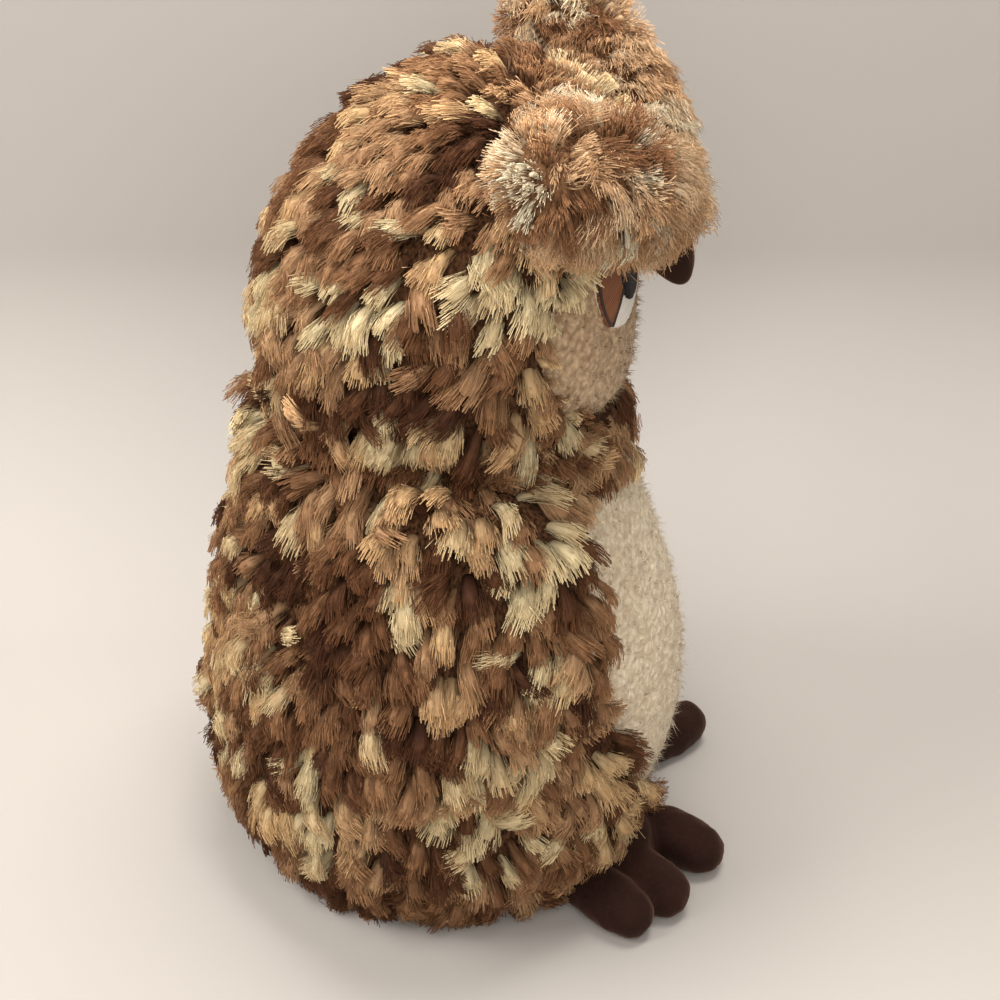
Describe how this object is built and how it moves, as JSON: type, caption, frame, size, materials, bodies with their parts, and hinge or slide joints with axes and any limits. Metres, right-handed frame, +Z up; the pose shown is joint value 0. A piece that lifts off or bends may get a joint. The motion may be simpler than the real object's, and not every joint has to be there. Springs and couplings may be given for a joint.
{
  "type": "plush owl",
  "caption": "Sitting plush owl with a mottled long-pile cover, fleece bib and face, tufted brows, hooked beak, soft wings and suede feet.",
  "frame": {"origin": "centre of the flat base panel, on the surface the owl sits on", "axes": "+Z up, -Y the way the owl faces, -X to the owl's right"},
  "size_m": [0.2058, 0.195, 0.3165],
  "materials": {
    "mottled_plush": "matte",
    "brow_plush": "matte",
    "cream_fleece": "matte",
    "brown_suede": "matte",
    "white_satin": "satin",
    "black_satin": "satin",
    "lid_satin": "satin",
    "polyester_stuffing": "matte",
    "bean_pouch_cloth": "matte"
  },
  "bodies": {
    "owl": {"body_cover": "mottled_plush", "bib_panel": "cream_fleece", "base_panel": "mottled_plush", "body_stuffing": "polyester_stuffing", "bean_pouch": "bean_pouch_cloth", "head_cover": "mottled_plush", "face_panel": "cream_fleece", "head_stuffing": "polyester_stuffing", "brow_tuft_right": "brow_plush", "brow_tuft_left": "brow_plush", "beak": "brown_suede", "eye_white_right": "white_satin", "eye_white_left": "white_satin", "eye_pupil_right": "black_satin", "eye_pupil_left": "black_satin", "eyelid_right": "lid_satin", "eyelid_left": "lid_satin"},
    "wing_right": {"wing_right": "mottled_plush", "wing_lining_right": "cream_fleece"},
    "wing_left": {"wing_left": "mottled_plush", "wing_lining_left": "cream_fleece"},
    "foot_right": {"foot_right": "brown_suede", "foot_sole_right": "brown_suede"},
    "foot_left": {"foot_left": "brown_suede", "foot_sole_left": "brown_suede"}
  },
  "joints": [
    {"name": "wing_right_seam", "type": "hinge", "parent": "owl", "child": "wing_right", "pos_m": [-0.06599, -0.008, 0.18612], "axis": [0, 1, 0], "range_deg": [0, 80]},
    {"name": "wing_left_seam", "type": "hinge", "parent": "owl", "child": "wing_left", "pos_m": [0.06599, -0.008, 0.18612], "axis": [0, -1, 0], "range_deg": [0, 80]},
    {"name": "foot_right_seam", "type": "hinge", "parent": "owl", "child": "foot_right", "pos_m": [-0.04939, -0.0683, 0.0262], "axis": [-0.7071, 0.7071, 0], "range_deg": [0, 25]},
    {"name": "foot_left_seam", "type": "hinge", "parent": "owl", "child": "foot_left", "pos_m": [0.04939, -0.0683, 0.0262], "axis": [-0.7071, -0.7071, 0], "range_deg": [0, 25]}
  ]
}
